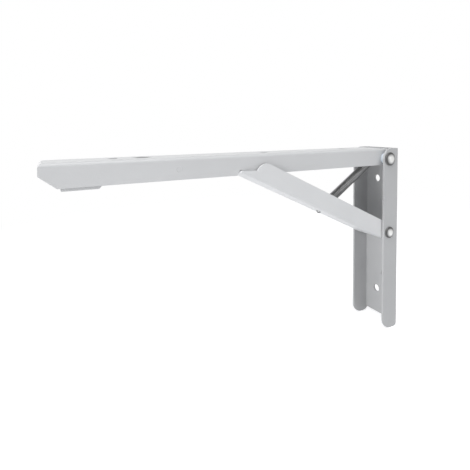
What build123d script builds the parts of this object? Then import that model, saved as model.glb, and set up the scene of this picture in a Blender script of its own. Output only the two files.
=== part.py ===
"""Folding shelf bracket: wall channel, shelf arm, latching brace, release lever, spring and rivets.

Frame, in millimetres: X = 0 is the wall face and +X points out along the open arm,
Y = 0 is the mid-plane and Z = 0 is the plane that the shelf board rests on.
The bracket is drawn open and latched. Side profiles are sketched in the XZ plane.
"""
from build123d import *
import math
import os

os.makedirs("parts", exist_ok=True)

# ---- Driving dimensions ------------------------------------------------------------------
reach = 300.0              # wall face to the nose of the arm
pivot_out = 12.5           # both pivot axes, out from the wall face
pivot_drop = 10.0          # arm pivot axis below the shelf plane
pivot_spacing = 70.0       # arm pivot axis down to brace pivot axis

wall_sheet = 2.0
arm_sheet = 1.6
brace_sheet = 1.6
lever_sheet = 1.2
inner_bend = 0.8           # inside radius of the folds

arm_width = 28.0
arm_side_gap = 2.1         # arm flange to brace flange, room for the brace rivets' inner heads
brace_side_gap = 0.9       # brace flange to channel flange
arm_proud = 3.0            # the folded arm's web stands this far out of the channel
fold_gap = 0.3             # folded arm's flange edges to the brace's web
face_gap = 0.1             # between flat faces that turn on each other
pin_fit = 0.05             # radial clearance of a hole that turns on its pin

# Wall channel
flange_height = 173.5
plate_height = 170.0
flange_top_round = 9.5
flange_foot_front = 10.0
flange_foot_back = 6.0
wall_hole = 7.0            # diameter
wall_hole_side = 5.0       # each hole's offset from the mid-plane
outer_hole_drops = (31.5, 145.5)
inner_hole_drops = (51.5, 127.5)

# Shelf arm
arm_height = 16.0
arm_web_start = 4.0        # the web begins this far beyond the arm pivot
nose_round = 3.5
nose_lip = 8.0             # height of the closed nose
nose_slope = 10.0          # length of the slanted flange end below the lip
shelf_hole = 6.5           # diameter
shelf_hole_reaches = (54.0, 138.0, 255.5)
dished_hole = 5.5          # diameter, with a pressed dish round it
dish_width = 9.0           # diameter
dish_reach = 236.5
notch_length = 13.5

# Brace and its latch
brace_length = 168.0       # brace pivot to the end of the toe
brace_flange_length = 156.0
brace_nose_round = 9.0
brace_web_start = 5.0      # the web begins this far beyond the brace pivot
latch_bite = 3.7           # how far the toe's upper corner is above the arm's lower edge
latch_gap = 0.5            # toe to notch

# Release lever
lever_width = 22.0
lever_pivot_reach = 214.0
lever_pivot_drop = 8.5
lever_tail_cover = 5.3     # length of the tail that lies over the brace's toe
lever_tail_drop = 11.6
lever_tail_top_drop = 8.0  # upper edge of the side walls at the tail
lever_wall_drop = 4.5      # upper edge of the side walls at the pivot
lever_level_length = 9.0   # level stretch of that edge, each side of the pivot
lever_front_reach = 288.0
lever_underside = 15.2     # below the shelf plane
lip_length = 22.0          # finger lip under the arm's flanges
lip_drop = 18.3            # below the shelf plane

# Rivets, sleeve, spacers and pin
rivet_shank = 6.0          # diameter
arm_rivet_head = 12.8      # diameter
arm_rivet_dome = 3.0
brace_rivet_head = 10.8    # diameter
brace_rivet_dome = 2.6
brace_rivet_inner_head = 1.3
sleeve_diameter = 9.0
spacer_diameter = 10.5
lever_pin_diameter = 4.0

# Brace spring
coil_diameter = 8.0
spring_wire = 1.2
spring_anchor = 72.0       # hook on the brace's web, from the brace pivot
hook_radius = 2.2          # to the middle of the wire
hook_slot = (2.4, 2.2)     # length and width of each of the two slots that the hook goes through
spring_leg = 2.8           # straight wire between each loop and the coil

# ---- Worked out from them ----------------------------------------------------------------
brace_inner = arm_width + 2 * arm_side_gap
brace_width = brace_inner + 2 * brace_sheet
channel_inner = brace_width + 2 * brace_side_gap
channel_width = channel_inner + 2 * wall_sheet
channel_depth = pivot_out + pivot_drop - arm_proud
brace_half = arm_height - pivot_drop + fold_gap + brace_sheet
turning_hole = rivet_shank + 2 * pin_fit
brace_pivot_drop = pivot_drop + pivot_spacing

# The toe's upper corner sits latch_bite above the arm's lower edge; that fixes the slope.
toe_floor = -(brace_half - brace_sheet)
corner_rise = brace_pivot_drop - arm_height + latch_bite
corner_swing = math.asin(corner_rise / math.hypot(brace_length, toe_floor))
brace_slope = math.degrees(corner_swing - math.atan2(toe_floor, brace_length))
slope_run = math.cos(math.radians(brace_slope))
slope_rise = math.sin(math.radians(brace_slope))
along_brace = Vector(slope_run, 0, slope_rise)
toe_tip_reach = pivot_out + brace_length * slope_run - toe_floor * slope_rise
lever_tail_reach = toe_tip_reach - lever_tail_cover

arm_pivot = Vector(pivot_out, 0, -pivot_drop)
brace_pivot = Vector(pivot_out, 0, -brace_pivot_drop)
brace_side = Plane(origin=brace_pivot, x_dir=along_brace, z_dir=(0, -1, 0))
brace_section = Plane(origin=brace_pivot - along_brace * brace_half, x_dir=(0, 1, 0), z_dir=along_brace)
brace_floor = Plane(origin=brace_side.from_local_coords((0, toe_floor, 0)), x_dir=along_brace,
                    z_dir=brace_side.y_dir)

# ---- Wall channel: a plate with two flanges folded forward -------------------------------
with BuildPart() as wall_channel:
    with BuildSketch(Plane.XY):
        Rectangle(channel_depth, channel_width, align=(Align.MIN, Align.CENTER))
        fillet(vertices().group_by(Axis.X)[0], wall_sheet + inner_bend)
    extrude(amount=-flange_height)
    with BuildSketch(Plane.XY):
        with Locations((wall_sheet, 0)):
            Rectangle(channel_depth, channel_inner, align=(Align.MIN, Align.CENTER))
        fillet(vertices().group_by(Axis.X)[0], inner_bend)
    extrude(amount=-flange_height, mode=Mode.SUBTRACT)
    with BuildSketch(Plane.XZ):
        with Locations((0, -flange_height)):
            Rectangle(channel_depth, flange_height, align=(Align.MIN, Align.MIN))
        fillet(vertices().sort_by_distance((channel_depth, 0, 0))[0], flange_top_round)
        fillet(vertices().sort_by_distance((channel_depth, -flange_height, 0))[0], flange_foot_front)
        fillet(vertices().sort_by_distance((0, -flange_height, 0))[0], flange_foot_back)
    extrude(amount=channel_width, both=True, mode=Mode.INTERSECT)
    with BuildSketch(Plane.XY.offset(-plate_height)):
        Rectangle(2 * (wall_sheet + inner_bend), channel_inner)
    extrude(amount=-flange_height, mode=Mode.SUBTRACT)
    with BuildSketch(Plane.XZ):
        with Locations((pivot_out, -pivot_drop)):
            Circle(rivet_shank / 2)
        with Locations((pivot_out, -brace_pivot_drop)):
            Circle(turning_hole / 2)
    extrude(amount=channel_width, both=True, mode=Mode.SUBTRACT)
    with BuildSketch(Plane.YZ):
        with Locations(*[(-wall_hole_side, -drop) for drop in outer_hole_drops]):
            Circle(wall_hole / 2)
        with Locations(*[(wall_hole_side, -drop) for drop in inner_hole_drops]):
            Circle(wall_hole / 2)
    extrude(amount=2 * wall_sheet, both=True, mode=Mode.SUBTRACT)

# ---- Shelf arm: an inverted channel with a closed nose and a notch in each flange --------
# The locking edge of the notch stands square to the latched brace, latch_gap beyond the toe.
lock_out = brace_length + latch_gap
notch_root_drop = arm_height - latch_bite - latch_gap


def lock_edge_reach(drop):
    """Reach of the notch's locking edge at a given drop below the shelf plane."""
    return pivot_out + (lock_out - (brace_pivot_drop - drop) * slope_rise) / slope_run


notch_root_reach = lock_edge_reach(notch_root_drop)
ear_foot = pivot_out - math.sqrt(pivot_drop**2 - (arm_height - pivot_drop) ** 2)

with BuildPart() as shelf_arm:
    with BuildSketch(Plane.YZ):
        Rectangle(arm_width, arm_height, align=(Align.CENTER, Align.MAX))
        fillet(vertices().group_by(Axis.Y)[-1], arm_sheet + inner_bend)
    extrude(amount=reach)
    with BuildSketch(Plane.YZ):
        with Locations((0, -arm_sheet)):
            Rectangle(arm_width - 2 * arm_sheet, arm_height, align=(Align.CENTER, Align.MAX))
        fillet(vertices().group_by(Axis.Y)[-1], inner_bend)
    extrude(amount=reach - arm_sheet, mode=Mode.SUBTRACT)
    with BuildSketch(Plane.XZ):
        with BuildLine():
            Polyline(
                (ear_foot, -arm_height),
                (notch_root_reach - notch_length, -arm_height),
                (notch_root_reach, -notch_root_drop),
                (lock_edge_reach(arm_height), -arm_height),
                (reach - nose_slope, -arm_height),
                (reach, -nose_lip),
                (reach, 0),
                (pivot_out, 0),
            )
            ThreePointArc((pivot_out, 0), (pivot_out - pivot_drop, -pivot_drop), (ear_foot, -arm_height))
        make_face()
        fillet(vertices().sort_by_distance((reach, 0, 0))[0], nose_round)
    extrude(amount=arm_width, both=True, mode=Mode.INTERSECT)
    with BuildSketch(Plane.XY):
        Rectangle(2 * (pivot_out + arm_web_start), arm_width - 2 * arm_sheet)
    extrude(amount=arm_height, both=True, mode=Mode.SUBTRACT)
    with BuildSketch(Plane.XZ):
        with Locations((pivot_out, -pivot_drop)):
            Circle(turning_hole / 2)
        with Locations((lever_pivot_reach, -lever_pivot_drop)):
            Circle(lever_pin_diameter / 2)
    extrude(amount=arm_width, both=True, mode=Mode.SUBTRACT)
    with Locations(*[(distance, 0, 0) for distance in shelf_hole_reaches]):
        Hole(shelf_hole / 2, depth=2 * arm_sheet)
    with Locations((dish_reach, 0, 0)):
        CounterSinkHole(dished_hole / 2, dish_width / 2, depth=2 * arm_sheet, counter_sink_angle=110)

# ---- Brace: a channel open upward, with low walls running out to the toe -----------------
with BuildPart() as brace:
    with BuildSketch(brace_section):
        Rectangle(brace_width, 2 * brace_half)
        fillet(vertices().group_by(Axis.Y)[0], brace_sheet + inner_bend)
    extrude(amount=brace_half + brace_length)
    with BuildSketch(brace_section):
        with Locations((0, toe_floor)):
            Rectangle(brace_inner, 2 * brace_half, align=(Align.CENTER, Align.MIN))
        fillet(vertices().group_by(Axis.Y)[0], inner_bend)
    extrude(amount=brace_half + brace_length, mode=Mode.SUBTRACT)
    with BuildSketch(brace_side):
        with BuildLine():
            arch_start = (brace_flange_length, brace_half - brace_nose_round)
            arch_end = (brace_flange_length - brace_nose_round, brace_half)
            Polyline((0, -brace_half), (brace_length, -brace_half), (brace_length, toe_floor), arch_start)
            RadiusArc(arch_start, arch_end, -brace_nose_round)
            Line(arch_end, (0, brace_half))
            ThreePointArc((0, brace_half), (-brace_half, 0), (0, -brace_half))
        make_face()
    extrude(amount=brace_width, both=True, mode=Mode.INTERSECT)
    with BuildSketch(brace_side):
        Rectangle(2 * brace_web_start, 4 * brace_half)
        with Locations((-brace_half, 0)):
            Rectangle(2 * brace_half, 4 * brace_half)
    extrude(amount=brace_inner / 2, both=True, mode=Mode.SUBTRACT)
    with BuildSketch(brace_side):
        Circle(turning_hole / 2)
    extrude(amount=brace_width, both=True, mode=Mode.SUBTRACT)
    with BuildSketch(brace_floor):
        with Locations((spring_anchor - hook_radius, 0), (spring_anchor + hook_radius, 0)):
            Rectangle(*hook_slot)
    extrude(amount=2 * brace_sheet, both=True, mode=Mode.SUBTRACT)

# ---- Release lever: a small channel open upward, pinned inside the arm -------------------
lip_start = lever_front_reach - lip_length
tail_ramp_end = lever_pivot_reach - lever_level_length
with BuildPart() as release_lever:
    with BuildSketch(Plane.XZ):
        with BuildLine():
            Polyline(
                (lever_tail_reach, -lever_tail_drop),
                (tail_ramp_end, -lever_underside),
                (lip_start - 3, -lever_underside),
                (lip_start, -lip_drop),
                (lever_front_reach, -lip_drop),
                (lever_front_reach, -lever_pivot_drop),
                (lever_pivot_reach + lever_level_length, -lever_wall_drop),
                (tail_ramp_end, -lever_wall_drop),
                (lever_tail_reach, -lever_tail_top_drop),
                close=True,
            )
        make_face()
    extrude(amount=lever_width / 2, both=True)
    with BuildSketch(Plane.XZ):
        with BuildLine():
            Polyline(
                (lever_tail_reach, lever_sheet - lever_tail_drop),
                (tail_ramp_end, lever_sheet - lever_underside),
                (lip_start - 3, lever_sheet - lever_underside),
                (lip_start, lever_sheet - lip_drop),
                (lever_front_reach, lever_sheet - lip_drop),
                (lever_front_reach, 0),
                (lever_tail_reach, 0),
                close=True,
            )
        make_face()
    extrude(amount=lever_width / 2 - lever_sheet, both=True, mode=Mode.SUBTRACT)
    with BuildSketch(Plane.XZ):
        with Locations((lever_pivot_reach, -lever_pivot_drop)):
            Circle(lever_pin_diameter / 2 + pin_fit)
    extrude(amount=lever_width, both=True, mode=Mode.SUBTRACT)

# ---- Lever pin: flush with the arm's outer faces -----------------------------------------
with BuildPart() as lever_pin:
    with BuildSketch(Plane.XZ):
        with Locations((lever_pivot_reach, -lever_pivot_drop)):
            Circle(lever_pin_diameter / 2)
    extrude(amount=arm_width / 2, both=True)


# ---- Arm pivot: one long rivet, a sleeve between the ears and two spacers outside them ---
arm_pin_section = Plane(origin=arm_pivot, x_dir=(1, 0, 0), z_dir=(0, 0, 1))
arm_pin_face = Plane(origin=arm_pivot, x_dir=(1, 0, 0), z_dir=(0, 1, 0))
flange_face = channel_width / 2

with BuildPart() as arm_pivot_rivet:
    with BuildSketch(arm_pin_section):
        with BuildLine():
            Polyline((0, flange_face + arm_rivet_dome), (0, 0), (rivet_shank / 2, 0),
                     (rivet_shank / 2, flange_face), (arm_rivet_head / 2, flange_face))
            arm_head_ball = ((arm_rivet_head / 2) ** 2 + arm_rivet_dome**2) / (2 * arm_rivet_dome)
            RadiusArc((arm_rivet_head / 2, flange_face), (0, flange_face + arm_rivet_dome), -arm_head_ball)
        make_face()
    revolve(axis=Axis(arm_pivot, (0, 1, 0)))
    mirror(about=Plane.XZ)

with BuildPart() as arm_pivot_sleeve:
    with BuildSketch(arm_pin_face):
        Circle(sleeve_diameter / 2)
        Circle(turning_hole / 2, mode=Mode.SUBTRACT)
    extrude(amount=arm_width / 2 - arm_sheet - face_gap, both=True)

with BuildPart() as arm_spacer_right:
    with BuildSketch(arm_pin_face.offset(arm_width / 2 + face_gap)):
        Circle(spacer_diameter / 2)
        Circle(turning_hole / 2, mode=Mode.SUBTRACT)
    extrude(amount=channel_inner / 2 - arm_width / 2 - 2 * face_gap)

with BuildPart() as arm_spacer_left:
    mirror(arm_spacer_right.part, about=Plane.XZ)

# ---- Brace pivot: a short rivet in each flange, clear of the folded arm between them -----
with BuildPart() as brace_rivet_right:
    with BuildSketch(Plane(origin=brace_pivot, x_dir=(1, 0, 0), z_dir=(0, 0, 1))):
        with BuildLine():
            inner_head = brace_inner / 2 - face_gap
            dome_base = flange_face + face_gap
            head_radius = brace_rivet_head / 2
            Polyline((0, dome_base + brace_rivet_dome), (0, inner_head - brace_rivet_inner_head),
                     (head_radius, inner_head - brace_rivet_inner_head), (head_radius, inner_head),
                     (rivet_shank / 2, inner_head), (rivet_shank / 2, dome_base),
                     (head_radius, dome_base))
            brace_head_ball = (head_radius**2 + brace_rivet_dome**2) / (2 * brace_rivet_dome)
            RadiusArc((head_radius, dome_base), (0, dome_base + brace_rivet_dome), -brace_head_ball)
        make_face()
    revolve(axis=Axis(brace_pivot, (0, 1, 0)))

with BuildPart() as brace_rivet_left:
    mirror(brace_rivet_right.part, about=Plane.XZ)

# ---- Brace spring: a coil, a loop round the arm pivot's sleeve and a hook in the brace ---
anchor = brace_side.from_local_coords((spring_anchor, toe_floor - brace_sheet / 2, 0))
spring_run = (anchor - arm_pivot).normalized()
spring_length = (anchor - arm_pivot).length
loop_radius = sleeve_diameter / 2 + face_gap + spring_wire / 2
coil_start = loop_radius + spring_leg
coil_length = spring_length - hook_radius - spring_leg - coil_start
spring_end = Plane(origin=arm_pivot, x_dir=(0, 1, 0), z_dir=spring_run)
loop_section = Plane(origin=arm_pivot, x_dir=spring_run, z_dir=spring_run.cross(Vector(0, 1, 0)))

with BuildPart() as brace_spring:
    with BuildSketch(spring_end.offset(coil_start)):
        Circle(coil_diameter / 2)
        Circle(coil_diameter / 2 - spring_wire, mode=Mode.SUBTRACT)
    extrude(amount=coil_length)
    with BuildSketch(spring_end.offset(coil_start)):
        Rectangle(coil_diameter - spring_wire, spring_wire)
    extrude(amount=spring_wire)
    with BuildSketch(spring_end.offset(coil_start + coil_length)):
        Rectangle(coil_diameter - spring_wire, spring_wire)
    extrude(amount=-spring_wire)
    with BuildSketch(spring_end.offset(loop_radius)):
        Circle(spring_wire / 2)
    extrude(amount=spring_leg + spring_wire)
    with BuildSketch(spring_end.offset(spring_length - hook_radius)):
        Circle(spring_wire / 2)
    extrude(amount=-spring_leg - spring_wire)
    with BuildSketch(loop_section):
        with Locations((loop_radius, 0)):
            Circle(spring_wire / 2)
    revolve(axis=Axis(arm_pivot, (0, 1, 0)))
    with BuildSketch(loop_section):
        with Locations((spring_length + hook_radius, 0)):
            Circle(spring_wire / 2)
    revolve(axis=Axis(anchor, (0, 1, 0)))

# ---- Save every piece under its own name -------------------------------------------------
wall_channel.part.label = "wall_channel"
shelf_arm.part.label = "shelf_arm"
brace.part.label = "brace"
release_lever.part.label = "release_lever"
lever_pin.part.label = "lever_pin"
arm_pivot_rivet.part.label = "arm_pivot_rivet"
arm_pivot_sleeve.part.label = "arm_pivot_sleeve"
arm_spacer_right.part.label = "arm_spacer_right"
arm_spacer_left.part.label = "arm_spacer_left"
brace_rivet_right.part.label = "brace_rivet_right"
brace_rivet_left.part.label = "brace_rivet_left"
brace_spring.part.label = "brace_spring"

export_step(wall_channel.part, "parts/wall_channel.step")
export_step(shelf_arm.part, "parts/shelf_arm.step")
export_step(brace.part, "parts/brace.step")
export_step(release_lever.part, "parts/release_lever.step")
export_step(lever_pin.part, "parts/lever_pin.step")
export_step(arm_pivot_rivet.part, "parts/arm_pivot_rivet.step")
export_step(arm_pivot_sleeve.part, "parts/arm_pivot_sleeve.step")
export_step(arm_spacer_right.part, "parts/arm_spacer_right.step")
export_step(arm_spacer_left.part, "parts/arm_spacer_left.step")
export_step(brace_rivet_right.part, "parts/brace_rivet_right.step")
export_step(brace_rivet_left.part, "parts/brace_rivet_left.step")
export_step(brace_spring.part, "parts/brace_spring.step")
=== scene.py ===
from math import cos, pi, radians, sin, tau

import bmesh
import bpy
from mathutils import Matrix, Vector


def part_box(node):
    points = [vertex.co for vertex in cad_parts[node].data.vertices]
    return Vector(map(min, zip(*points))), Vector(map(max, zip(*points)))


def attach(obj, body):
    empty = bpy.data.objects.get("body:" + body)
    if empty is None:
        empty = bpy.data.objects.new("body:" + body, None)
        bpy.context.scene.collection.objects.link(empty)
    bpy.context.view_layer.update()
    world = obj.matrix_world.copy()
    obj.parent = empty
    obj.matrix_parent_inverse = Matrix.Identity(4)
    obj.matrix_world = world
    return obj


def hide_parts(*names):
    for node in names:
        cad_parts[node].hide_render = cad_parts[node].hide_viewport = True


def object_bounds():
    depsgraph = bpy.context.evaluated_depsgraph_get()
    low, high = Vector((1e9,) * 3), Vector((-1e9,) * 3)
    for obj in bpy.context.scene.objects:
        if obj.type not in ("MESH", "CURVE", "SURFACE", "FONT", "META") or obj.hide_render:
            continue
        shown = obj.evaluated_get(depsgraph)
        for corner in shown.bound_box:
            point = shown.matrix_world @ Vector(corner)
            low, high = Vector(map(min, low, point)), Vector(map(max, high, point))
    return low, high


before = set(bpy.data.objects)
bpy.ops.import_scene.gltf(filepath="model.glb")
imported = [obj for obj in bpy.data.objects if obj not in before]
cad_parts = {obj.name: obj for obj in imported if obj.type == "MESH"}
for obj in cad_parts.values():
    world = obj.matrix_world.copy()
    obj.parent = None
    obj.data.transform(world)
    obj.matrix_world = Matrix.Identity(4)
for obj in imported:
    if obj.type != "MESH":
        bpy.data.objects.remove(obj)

cad_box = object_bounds()
scene = bpy.context.scene
scene.view_settings.view_transform = "Standard"

# ---- The studio -------------------------------------------------------------------------
# The bracket stands on its channel's foot on a pale floor, open and latched. It is seen from
# beyond the shelf's front corner and a little above the arm, under three large soft lamps.
camera_data = bpy.data.cameras.new("camera")
camera_data.sensor_width = 36
camera_data.lens = 29.6
camera_data.shift_x = -0.06
camera_data.shift_y = -0.19
camera_data.clip_start = 0.01
camera = bpy.data.objects.new("camera", camera_data)
scene.collection.objects.link(camera)
scene.camera = camera
turn = Matrix.Rotation(radians(150.2), 4, "Z")
tilt = Matrix.Rotation(radians(87.2), 4, "X")
roll = Matrix.Rotation(radians(-0.3), 4, "Z")
camera.matrix_world = Matrix.Translation((0.297, 0.277, 0.021)) @ turn @ tilt @ roll


def add(nodes, kind, values=(), **settings):
    """A new node, with its settings made and plain values put on its inputs."""
    node = nodes.new(kind)
    for setting, choice in settings.items():
        setattr(node, setting, choice)
    for socket, value in dict(values).items():
        node.inputs[socket].default_value = value
    return node


def reckon(nodes, links, operation, *terms):
    """The result of a Math node on sockets or plain numbers."""
    node = nodes.new("ShaderNodeMath")
    node.operation = operation
    for number, term in enumerate(terms):
        if isinstance(term, (int, float)):
            node.inputs[number].default_value = term
        else:
            links.new(term, node.inputs[number])
    return node.outputs[0]


def seen_directly(nodes, links):
    """1 for camera, mirror and glass rays, and 0 for the light that falls on the bracket."""
    path = nodes.new("ShaderNodeLightPath").outputs
    seen = reckon(nodes, links, "MAXIMUM", path["Is Camera Ray"], path["Is Glossy Ray"])
    return reckon(nodes, links, "MAXIMUM", seen, path["Is Transmission Ray"])


room = bpy.data.worlds.new("room")
scene.world = room
room.use_nodes = True
nodes, links = room.node_tree.nodes, room.node_tree.links
nodes.clear()
room_light = add(nodes, "ShaderNodeBackground", {"Color": (0.96, 0.98, 1.0, 1), "Strength": 0.36})
room_white = add(nodes, "ShaderNodeBackground", {"Color": (1, 1, 1, 1)})
room_mix = nodes.new("ShaderNodeMixShader")
room_out = nodes.new("ShaderNodeOutputWorld")
links.new(seen_directly(nodes, links), room_mix.inputs[0])
links.new(room_light.outputs[0], room_mix.inputs[1])
links.new(room_white.outputs[0], room_mix.inputs[2])
links.new(room_mix.outputs[0], room_out.inputs["Surface"])

floor_level = cad_box[0].z
floor_half = 4
floor_mesh = bpy.data.meshes.new("studio_floor")
floor_mesh.from_pydata(
    [(x * floor_half, y * floor_half, floor_level)
     for x, y in ((-1, -1), (1, -1), (1, 1), (-1, 1))], [], [(0, 1, 2, 3)])
studio_floor = bpy.data.objects.new("studio_floor", floor_mesh)
scene.collection.objects.link(studio_floor)

# near the bracket the paper shows its shadow, and further off it sweeps up into the white room
floor_paper = bpy.data.materials.new("floor_paper")
floor_paper.use_nodes = True
nodes, links = floor_paper.node_tree.nodes, floor_paper.node_tree.links
nodes.clear()
paper = add(nodes, "ShaderNodeBsdfDiffuse", {"Color": (0.80, 0.805, 0.815, 1)})
paper_glow = add(nodes, "ShaderNodeEmission", {"Color": (1, 1, 1, 1), "Strength": 0.62})
paper_near = nodes.new("ShaderNodeAddShader")
paper_far = add(nodes, "ShaderNodeEmission", {"Color": (1, 1, 1, 1)})
paper_place = nodes.new("ShaderNodeTexCoord")
paper_reach = add(nodes, "ShaderNodeVectorMath", operation="LENGTH")
paper_fade = add(nodes, "ShaderNodeMapRange", {"From Min": 0.3, "From Max": 0.75})
paper_sweep = nodes.new("ShaderNodeMixShader")
paper_mix = nodes.new("ShaderNodeMixShader")
paper_out = nodes.new("ShaderNodeOutputMaterial")
links.new(paper_place.outputs["Object"], paper_reach.inputs[0])
links.new(paper_reach.outputs["Value"], paper_fade.inputs["Value"])
links.new(paper.outputs[0], paper_near.inputs[0])
links.new(paper_glow.outputs[0], paper_near.inputs[1])
links.new(paper_fade.outputs["Result"], paper_sweep.inputs[0])
links.new(paper_near.outputs[0], paper_sweep.inputs[1])
links.new(paper_far.outputs[0], paper_sweep.inputs[2])
links.new(seen_directly(nodes, links), paper_mix.inputs[0])
links.new(paper.outputs[0], paper_mix.inputs[1])
links.new(paper_sweep.outputs[0], paper_mix.inputs[2])
links.new(paper_mix.outputs[0], paper_out.inputs["Surface"])
floor_mesh.materials.append(floor_paper)


def soft_lamp(name, place, aim, width, height, power):
    """A rectangular soft box at a place, turned to face a point."""
    lamp = bpy.data.lights.new(name, "AREA")
    lamp.shape = "RECTANGLE"
    lamp.size = width
    lamp.size_y = height
    lamp.energy = power
    box = bpy.data.objects.new(name, lamp)
    box.location = place
    box.rotation_euler = (Vector(place) - Vector(aim)).to_track_quat("Z", "Y").to_euler()
    scene.collection.objects.link(box)


soft_lamp("overhead_lamp", (0.45, 0.3, 1.15), (0.13, 0, -0.06), 1.1, 0.9, 9.6)
soft_lamp("side_lamp", (0.0, 1.2, 0.35), (0.12, 0, -0.06), 0.8, 0.8, 2.2)
soft_lamp("front_lamp", (1.25, 0.15, -0.02), (0.1, 0, -0.08), 0.7, 0.7, 7.6)


# ---- Wall channel -----------------------------------------------------------------------
# 2 mm steel strip folded to a channel and pierced for its screws and rivets. It is powder
# coated in a light grey satin, which has a fine orange-peel skin and rounds every cut edge.
def clouded_finish(name, cloud_scale, cloud_detail, dark, light, gloss, ends=(0.0, 1.0),
                   grain=None, metallic=0.0):
    """A finish whose tone and gloss drift a little over the piece; grain draws the drift out."""
    material = bpy.data.materials.new(name)
    material.use_nodes = True
    nodes, links = material.node_tree.nodes, material.node_tree.links
    shader = nodes["Principled BSDF"]
    shader.inputs["Metallic"].default_value = metallic
    place = nodes.new("ShaderNodeTexCoord").outputs["Object"]
    if grain:
        stretch = add(nodes, "ShaderNodeMapping", {"Scale": grain})
        links.new(place, stretch.inputs["Vector"])
        place = stretch.outputs["Vector"]
    cloud = add(nodes, "ShaderNodeTexNoise", {"Scale": cloud_scale, "Detail": cloud_detail})
    tone = nodes.new("ShaderNodeValToRGB")
    for element, position, colour in zip(tone.color_ramp.elements, ends, (dark, light)):
        element.position = position
        element.color = (*colour, 1)
    rough = add(nodes, "ShaderNodeMapRange", {"To Min": gloss[0], "To Max": gloss[1]})
    links.new(place, cloud.inputs["Vector"])
    links.new(cloud.outputs["Fac"], tone.inputs["Fac"])
    links.new(tone.outputs["Color"], shader.inputs["Base Color"])
    links.new(cloud.outputs["Fac"], rough.inputs["Value"])
    links.new(rough.outputs["Result"], shader.inputs["Roughness"])
    return material


def powder_coat(name, tone):
    """The satin coat at a tone set per piece as painted light and shade, with its orange-peel
    skin.
    """
    material = clouded_finish(
        name, 22.0, 3.0, (tone * 0.965, tone * 0.97, tone * 0.98),
        (tone * 1.01, tone * 1.015, tone * 1.025), gloss=(0.38, 0.48), ends=(0.3, 0.7))
    nodes, links = material.node_tree.nodes, material.node_tree.links
    place = nodes.new("ShaderNodeTexCoord")
    peel = add(nodes, "ShaderNodeTexNoise", {"Scale": 950.0, "Detail": 2.0})
    skin = add(nodes, "ShaderNodeBump", {"Strength": 0.12, "Distance": 0.0002},
               name="orange_peel")
    links.new(place.outputs["Object"], peel.inputs["Vector"])
    links.new(peel.outputs["Fac"], skin.inputs["Height"])
    links.new(skin.outputs["Normal"], nodes["Principled BSDF"].inputs["Normal"])
    return material


def edged_piece(node, name, body, edge_round, finish):
    """The CAD piece with its flat faces joined up and its sharp edges rounded a little."""
    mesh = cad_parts[node].data.copy()
    mesh.name = name
    shape = bmesh.new()
    shape.from_mesh(mesh)
    bmesh.ops.remove_doubles(shape, verts=shape.verts, dist=1e-6)
    bmesh.ops.dissolve_limit(shape, angle_limit=radians(0.5), verts=shape.verts,
                             edges=shape.edges)
    sharp_edges = [edge for edge in shape.edges if edge.calc_face_angle(0) > radians(35)]
    bmesh.ops.bevel(shape, geom=sharp_edges, offset=edge_round, offset_type="OFFSET", segments=2,
                    profile=0.5, affect="EDGES", clamp_overlap=True)
    bmesh.ops.triangulate(shape, faces=[face for face in shape.faces if len(face.verts) > 4])
    shape.to_mesh(mesh)
    shape.free()
    mesh.shade_smooth()
    piece = bpy.data.objects.new(name, mesh)
    scene.collection.objects.link(piece)
    weighted = piece.modifiers.new("flat_faces", "WEIGHTED_NORMAL")
    weighted.weight = 100
    weighted.keep_sharp = True
    mesh.materials.clear()
    mesh.materials.append(finish)
    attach(piece, body)
    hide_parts(node)


# one paint on all the sheet pieces; each piece's base tone is painted light and shade, and the
# channel's darker tone is painted shade
channel_coat_painted_shade = powder_coat("channel_coat_painted_shade", 0.55)
edged_piece("wall_channel", "coated_wall_channel", "wall_frame", 0.0003, channel_coat_painted_shade)

# ---- Shelf arm --------------------------------------------------------------------------
# 1.6 mm strip folded down round the web, with a closed nose and a notch in each flange for
# the brace's toe, coated in the channel's satin at a tone of its own that is painted light. Shelf
# screws go up through the holes in its web.
# the arm's middle tone is painted light
arm_coat_painted_light_and_shade = powder_coat("arm_coat_painted_light_and_shade", 0.69)
nodes, links = arm_coat_painted_light_and_shade.node_tree.nodes, arm_coat_painted_light_and_shade.node_tree.links
arm_place = nodes.new("ShaderNodeTexCoord")

# the web is set down by a hair along one line, where the folding tool's pad pressed on it
arm_parts = nodes.new("ShaderNodeSeparateXYZ")
pad_line = add(nodes, "ShaderNodeMapRange", {"From Min": -0.0042, "From Max": -0.0012},
               interpolation_type="SMOOTHSTEP")
pad_bump = add(nodes, "ShaderNodeBump", {"Strength": 1.0, "Distance": 0.0006})
links.new(arm_place.outputs["Object"], arm_parts.inputs[0])
links.new(arm_parts.outputs["Y"], pad_line.inputs["Value"])
web_top = reckon(nodes, links, "GREATER_THAN", arm_parts.outputs["Z"], -0.0003)
pad_step = reckon(nodes, links, "MULTIPLY", pad_line.outputs["Result"], web_top)
links.new(pad_step, pad_bump.inputs["Height"])
links.new(pad_bump.outputs["Normal"], nodes["orange_peel"].inputs["Normal"])

# painted shade: the coat's colour is darkened inside the dished hole, standing in for the shade
# down its wall
dish_middle = (0.2365, 0.0, -0.0008)
dish_place = add(nodes, "ShaderNodeVectorMath", {1: dish_middle}, operation="SUBTRACT")
dish_reach = add(nodes, "ShaderNodeVectorMath", operation="LENGTH")
dish_painted_shade = nodes.new("ShaderNodeValToRGB")
dish_painted_shade.color_ramp.elements[0].position = 0.0038
dish_painted_shade.color_ramp.elements[0].color = (0.3, 0.3, 0.3, 1)
dish_painted_shade.color_ramp.elements[1].position = 0.0045
dish_painted_shade.color_ramp.elements[1].color = (1, 1, 1, 1)
dish_painted_shade_mix = add(nodes, "ShaderNodeMix", data_type="RGBA", blend_type="MULTIPLY")
dish_painted_shade_mix.inputs["Factor"].default_value = 1.0
arm_base = nodes["Principled BSDF"].inputs["Base Color"]
links.new(arm_base.links[0].from_socket, dish_painted_shade_mix.inputs["A"])
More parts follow.
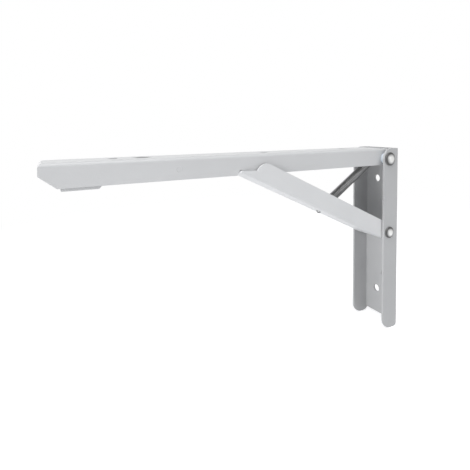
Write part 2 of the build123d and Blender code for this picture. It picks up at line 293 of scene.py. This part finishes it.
links.new(arm_place.outputs["Object"], dish_place.inputs[0])
links.new(dish_place.outputs["Vector"], dish_reach.inputs[0])
links.new(dish_reach.outputs["Value"], dish_painted_shade.inputs["Fac"])
links.new(dish_painted_shade.outputs["Color"], dish_painted_shade_mix.inputs["B"])
links.new(dish_painted_shade_mix.outputs["Result"], arm_base)
edged_piece("shelf_arm", "coated_shelf_arm", "arm", 0.00025, arm_coat_painted_light_and_shade)

# ---- Brace ------------------------------------------------------------------------------
# 1.6 mm strip folded up round its web. The arched flanges run down to low walls, which reach
# out to the toe that props the arm. Coated in the channel's satin, in a lighter tone that is
# painted light.
# the brace's lighter tone is painted light
brace_coat_painted_light = powder_coat("brace_coat_painted_light", 0.79)
edged_piece("brace", "coated_brace", "slanting_brace", 0.00025, brace_coat_painted_light)

# ---- Release lever and its pin ----------------------------------------------------------
# A thin folded trough inside the arm, with a finger lip under the nose. It rocks on a plain
# pin whose ends are flush with the arm's flanges and coated over with them.
edged_piece("release_lever", "coated_release_lever", "lever", 0.0002, arm_coat_painted_light_and_shade)
edged_piece("lever_pin", "coated_lever_pin", "arm", 0.0002, arm_coat_painted_light_and_shade)

# ---- Rivets -----------------------------------------------------------------------------
# Zinc-plated steel. One long rivet with a head at both ends carries the arm, and a short one
# in each flange carries the brace. The heads are spun over, which leaves faint rings on them;
# the colour darkens from the centre to a near-black ring inside the rim, painted shade of a
# groove the heads don't have.
rivet_steel = bpy.data.materials.new("rivet_steel")
rivet_steel.use_nodes = True
nodes, links = rivet_steel.node_tree.nodes, rivet_steel.node_tree.links
zinc = nodes["Principled BSDF"]
zinc.inputs["Metallic"].default_value = 1.0
zinc_ring = add(nodes, "ShaderNodeAttribute", attribute_name="from_centre")
# painted shade: the zinc colour darkens outwards to a near-black ring inside the rim
rivet_painted_shade_ramp = nodes.new("ShaderNodeValToRGB")
rivet_painted_shade_ramp.color_ramp.elements[0].position = 0.34
rivet_painted_shade_ramp.color_ramp.elements[0].color = (0.74, 0.74, 0.73, 1)
rivet_painted_shade_ramp.color_ramp.elements[1].position = 1.0
rivet_painted_shade_ramp.color_ramp.elements[1].color = (0.22, 0.22, 0.22, 1)
for radius, grey in ((0.6, 0.42), (0.8, 0.07), (0.9, 0.09)):
    rivet_painted_shade_step = rivet_painted_shade_ramp.color_ramp.elements.new(radius)
    rivet_painted_shade_step.color = (grey, grey, grey, 1)
zinc_place = nodes.new("ShaderNodeTexCoord")
zinc_speck = add(nodes, "ShaderNodeTexNoise", {"Scale": 420.0, "Detail": 4.0})
zinc_rough = add(nodes, "ShaderNodeMapRange", {"To Min": 0.24, "To Max": 0.46})
ring_bump = add(nodes, "ShaderNodeBump", {"Strength": 0.1, "Distance": 0.00008})
links.new(zinc_ring.outputs["Fac"], rivet_painted_shade_ramp.inputs["Fac"])
links.new(rivet_painted_shade_ramp.outputs["Color"], zinc.inputs["Base Color"])
links.new(zinc_place.outputs["Object"], zinc_speck.inputs["Vector"])
links.new(zinc_speck.outputs["Fac"], zinc_rough.inputs["Value"])
links.new(zinc_rough.outputs["Result"], zinc.inputs["Roughness"])
ring_count = reckon(nodes, links, "MULTIPLY", zinc_ring.outputs["Fac"], 9 * tau)
links.new(reckon(nodes, links, "SINE", ring_count), ring_bump.inputs["Height"])
links.new(ring_bump.outputs["Normal"], zinc.inputs["Normal"])


def new_tree(name, start, sizes, result):
    """An empty node tree with one geometry in, named sizes and a finish, and one geometry out."""
    tree = bpy.data.node_groups.new(name, "GeometryNodeTree")
    kinds = {size: "NodeSocketFloat" for size in sizes} | {"Finish": "NodeSocketMaterial"}
    tree.interface.new_socket(start, in_out="INPUT", socket_type="NodeSocketGeometry")
    identifiers = {
        size: tree.interface.new_socket(size, in_out="INPUT", socket_type=kind).identifier
        for size, kind in kinds.items()}
    tree.interface.new_socket(result, in_out="OUTPUT", socket_type="NodeSocketGeometry")
    given = tree.nodes.new("NodeGroupInput").outputs
    made = tree.nodes.new("NodeGroupOutput").inputs
    return tree, identifiers, given, made


def end_tree(nodes, links, geometry, finish, result):
    """The end of a tree: real meshes, smooth shading and the finish."""
    real = nodes.new("GeometryNodeRealizeInstances")
    smooth = nodes.new("GeometryNodeSetShadeSmooth")
    coated = nodes.new("GeometryNodeSetMaterial")
    links.new(geometry, real.inputs["Geometry"])
    links.new(real.outputs["Geometry"], smooth.inputs["Geometry"])
    links.new(smooth.outputs["Geometry"], coated.inputs["Geometry"])
    links.new(finish, coated.inputs["Material"])
    links.new(coated.outputs["Geometry"], result)


def made_by_tree(name, start, tree, identifiers, sizes):
    """Run a node tree on a starting mesh and keep what it makes as a plain mesh piece."""
    worker = bpy.data.objects.new(name + "_start", start)
    scene.collection.objects.link(worker)
    step = worker.modifiers.new("make", "NODES")
    step.node_group = tree
    for socket, size in sizes.items():
        step[identifiers[socket]] = size
    evaluated = worker.evaluated_get(bpy.context.evaluated_depsgraph_get())
    mesh = bpy.data.meshes.new_from_object(evaluated)
    mesh.name = name
    worker.modifiers.remove(step)
    bpy.data.objects.remove(worker)
    piece = bpy.data.objects.new(name, mesh)
    scene.collection.objects.link(piece)
    return piece


rivet_tree, rivet_sockets, given, made = new_tree(
    "rivet", "Seats", ("Head Radius", "Dome Height", "Rim Height", "Shank Radius", "Grip",
                       "Inner Head Radius", "Inner Head Depth"), "Rivets")
nodes, links = rivet_tree.nodes, rivet_tree.links

# the head: a ball drawn out to the head's width, flat below and a shallow dome on a low rim above
ball = add(nodes, "GeometryNodeMeshUVSphere", {"Segments": 48, "Rings": 28, "Radius": 1.0})
ball_place = nodes.new("GeometryNodeInputPosition")
ball_parts = nodes.new("ShaderNodeSeparateXYZ")
links.new(ball_place.outputs[0], ball_parts.inputs[0])
ball_x, ball_y, ball_z = ball_parts.outputs
above = reckon(nodes, links, "GREATER_THAN", ball_z, -0.001)
dome_part = reckon(nodes, links, "SUBTRACT", given["Dome Height"], given["Rim Height"])
dome_curve = reckon(nodes, links, "POWER", reckon(nodes, links, "MAXIMUM", ball_z, 0.0), 1.8)
dome_rise = reckon(nodes, links, "MULTIPLY", dome_part, dome_curve)
dome_top = reckon(nodes, links, "ADD", dome_rise, given["Rim Height"])
head_place = nodes.new("ShaderNodeCombineXYZ")
links.new(reckon(nodes, links, "MULTIPLY", ball_x, given["Head Radius"]), head_place.inputs[0])
links.new(reckon(nodes, links, "MULTIPLY", ball_y, given["Head Radius"]), head_place.inputs[1])
links.new(reckon(nodes, links, "MULTIPLY", above, dome_top), head_place.inputs[2])
flat_place = nodes.new("ShaderNodeCombineXYZ")
from_centre = add(nodes, "ShaderNodeVectorMath", operation="LENGTH")
head_mark = add(nodes, "GeometryNodeStoreNamedAttribute", data_type="FLOAT", domain="POINT")
head_mark.inputs["Name"].default_value = "from_centre"
head = nodes.new("GeometryNodeSetPosition")
links.new(ball_x, flat_place.inputs[0])
links.new(ball_y, flat_place.inputs[1])
links.new(flat_place.outputs[0], from_centre.inputs[0])
links.new(ball.outputs["Mesh"], head_mark.inputs["Geometry"])
links.new(from_centre.outputs["Value"], head_mark.inputs["Value"])
links.new(head_mark.outputs["Geometry"], head.inputs["Geometry"])
links.new(head_place.outputs[0], head.inputs["Position"])

# the shank, and the inner head behind the plates
shank_middle = reckon(nodes, links, "MULTIPLY", given["Grip"], -0.5)
half_depth = reckon(nodes, links, "MULTIPLY", given["Inner Head Depth"], 0.5)
inner_middle = reckon(nodes, links, "SUBTRACT", half_depth, given["Grip"])
joined = nodes.new("GeometryNodeJoinGeometry")
links.new(head.outputs["Geometry"], joined.inputs["Geometry"])
for radius, length, middle in (
        (given["Shank Radius"], given["Grip"], shank_middle),
        (given["Inner Head Radius"], given["Inner Head Depth"], inner_middle)):
    bar = add(nodes, "GeometryNodeMeshCylinder", {"Vertices": 48})
    bar_place = nodes.new("ShaderNodeCombineXYZ")
    bar_move = nodes.new("GeometryNodeTransform")
    links.new(radius, bar.inputs["Radius"])
    links.new(length, bar.inputs["Depth"])
    links.new(middle, bar_place.inputs[2])
    links.new(bar.outputs["Mesh"], bar_move.inputs["Geometry"])
    links.new(bar_place.outputs[0], bar_move.inputs["Translation"])
    links.new(bar_move.outputs["Geometry"], joined.inputs["Geometry"])

# one rivet on each seat, its head turned the way the seat faces
seat_faces = add(nodes, "GeometryNodeInputNamedAttribute", data_type="FLOAT_VECTOR")
seat_faces.inputs["Name"].default_value = "faces"
seat_turn = add(nodes, "FunctionNodeAlignRotationToVector", axis="Z")
seated = nodes.new("GeometryNodeInstanceOnPoints")
links.new(seat_faces.outputs["Attribute"], seat_turn.inputs["Vector"])
links.new(given["Seats"], seated.inputs["Points"])
links.new(joined.outputs["Geometry"], seated.inputs["Instance"])
links.new(seat_turn.outputs["Rotation"], seated.inputs["Rotation"])
end_tree(nodes, links, seated.outputs["Instances"], given["Finish"], made["Rivets"])

rivet_shank_radius = 0.003


def rivet_pair(name, pivot, seat_out, sizes):
    """Rivets at a pivot, head outwards, on a seat at each side of the bracket."""
    seats = bpy.data.meshes.new(name + "_seats")
    seats.from_pydata([(pivot.x, seat_out, pivot.z), (pivot.x, -seat_out, pivot.z)], [], [])
    faces = seats.attributes.new("faces", "FLOAT_VECTOR", "POINT")
    faces.data[0].vector = (0, 1, 0)
    faces.data[1].vector = (0, -1, 0)
    piece = made_by_tree(name, seats, rivet_tree, rivet_sockets, {
        "Shank Radius": rivet_shank_radius, "Finish": rivet_steel, **sizes})
    piece.data.set_sharp_from_angle(angle=radians(40))
    return piece


arm_rivet_low, arm_rivet_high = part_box("arm_pivot_rivet")
arm_pivot = (Vector(arm_rivet_low) + Vector(arm_rivet_high)) / 2
arm_rivet_dome = 0.003
arm_rivet_seat = arm_rivet_high[1] - arm_rivet_dome
shank_overlap = 0.0001
arm_rivet = rivet_pair("arm_rivet", arm_pivot, arm_rivet_seat, {
    "Head Radius": (arm_rivet_high[0] - arm_rivet_low[0]) / 2, "Dome Height": arm_rivet_dome,
    "Rim Height": 0.0007, "Grip": arm_rivet_seat + shank_overlap,
    "Inner Head Radius": rivet_shank_radius, "Inner Head Depth": 0.001})
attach(arm_rivet, "wall_frame")
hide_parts("arm_pivot_rivet")

brace_rivet_low, brace_rivet_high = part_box("brace_rivet_right")
brace_pivot = (Vector(brace_rivet_low) + Vector(brace_rivet_high)) / 2
brace_rivet_dome = 0.0026
brace_rivet_seat = brace_rivet_high[1] - brace_rivet_dome
brace_rivets = rivet_pair("brace_rivets", brace_pivot, brace_rivet_seat, {
    "Head Radius": (brace_rivet_high[0] - brace_rivet_low[0]) / 2,
    "Dome Height": brace_rivet_dome, "Rim Height": 0.0006,
    "Grip": brace_rivet_seat - brace_rivet_low[1],
    "Inner Head Radius": 0.0054, "Inner Head Depth": 0.0013})
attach(brace_rivets, "brace_pins")
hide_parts("brace_rivet_right")
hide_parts("brace_rivet_left")

# ---- Arm pivot sleeve -------------------------------------------------------------------
# A length of zinc-plated steel tube round the long rivet, which holds the arm's ears apart
# and carries the spring's loop. It is drawn lengthwise, and its sawn ends are deburred.
sleeve_steel = clouded_finish(
    "sleeve_steel", 1.0, 3.0, (0.42, 0.42, 0.43), (0.62, 0.62, 0.62), gloss=(0.3, 0.5),
    grain=(1600, 60, 1600), metallic=1.0)
edged_piece("arm_pivot_sleeve", "pivot_sleeve", "wall_frame", 0.0003, sleeve_steel)

# ---- Arm spacers ------------------------------------------------------------------------
# Two moulded nylon rings on the long rivet, one each side of the arm, that keep it off the
# channel's flanges. Natural nylon is a milky, slightly cold white.
spacer_nylon = clouded_finish(
    "spacer_nylon", 180.0, 2.0, (0.62, 0.68, 0.75), (0.72, 0.77, 0.82), gloss=(0.35, 0.5))
nylon = spacer_nylon.node_tree.nodes["Principled BSDF"]
nylon.inputs["Specular IOR Level"].default_value = 0.45
for side in ("right", "left"):
    edged_piece("arm_spacer_" + side, "pivot_spacer_" + side, "wall_frame", 0.0004,
                spacer_nylon)

# ---- Brace spring -----------------------------------------------------------------------
# One length of oiled spring wire, wound close on a mandrel. A loop at its top goes round the
# sleeve on the arm's pivot, and a hook at its foot goes through two slots in the brace.
spring_steel = clouded_finish(
    "spring_steel", 260.0, 3.0, (0.24, 0.24, 0.245), (0.40, 0.40, 0.40), gloss=(0.22, 0.4),
    metallic=1.0)

wire_size = 0.0012
coil_radius = 0.0034
coil_turns = 48
points_per_turn = 16
coil_run_in = 6            # points over which the wire opens out from its leg to the coil
loop_radius = 0.0052
leg = 0.0028               # straight wire at each end of the coil
hook_radius = 0.0022
hook_place = Vector((0.08037, 0, -0.05494))
along = hook_place - arm_pivot
spring_length = along.length
along.normalize()
across = Vector((-along.z, 0, along.x))
sideways = Vector((0, 1, 0))
coil_start = loop_radius + leg
coil_end = spring_length - hook_radius - leg

wire_line = []
for step in range(40):
    angle = radians(330) * (1 - step / 39)
    wire_line.append(arm_pivot + loop_radius * (cos(angle) * along - sin(angle) * across))
for step in range(1, 5):
    wire_line.append(arm_pivot + (loop_radius + leg * step / 5) * along)
coil_steps = coil_turns * points_per_turn
for step in range(coil_steps + 1):
    part = step / coil_steps
    angle = tau * coil_turns * part
    radius = coil_radius * min(1.0, step / coil_run_in, (coil_steps - step) / coil_run_in)
    wire_line.append(arm_pivot + (coil_start + (coil_end - coil_start) * part) * along
                     + radius * (cos(angle) * across + sin(angle) * sideways))
for step in range(1, 4):
    wire_line.append(arm_pivot + (coil_end + leg * step / 4) * along)
for step in range(28):
    angle = pi + radians(320) * step / 27
    wire_line.append(hook_place + hook_radius * (cos(angle) * along + sin(angle) * across))
wire_start = bpy.data.meshes.new("wire_line")
wire_start.from_pydata(wire_line, [(n, n + 1) for n in range(len(wire_line) - 1)], [])

wire_tree, wire_sockets, given, made = new_tree("wire", "Line", ("Wire Radius",), "Wire")
nodes, links = wire_tree.nodes, wire_tree.links
wire_path = nodes.new("GeometryNodeMeshToCurve")
wire_round = add(nodes, "GeometryNodeCurvePrimitiveCircle", {"Resolution": 12})
wire_sweep = nodes.new("GeometryNodeCurveToMesh")
wire_sweep.inputs["Fill Caps"].default_value = True
links.new(given["Line"], wire_path.inputs["Mesh"])
links.new(given["Wire Radius"], wire_round.inputs["Radius"])
links.new(wire_path.outputs["Curve"], wire_sweep.inputs["Curve"])
links.new(wire_round.outputs["Curve"], wire_sweep.inputs["Profile Curve"])
end_tree(nodes, links, wire_sweep.outputs["Mesh"], given["Finish"], made["Wire"])

wound_spring = made_by_tree("wound_spring", wire_start, wire_tree, wire_sockets,
                            {"Wire Radius": wire_size / 2, "Finish": spring_steel})
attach(wound_spring, "spring")
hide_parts("brace_spring")
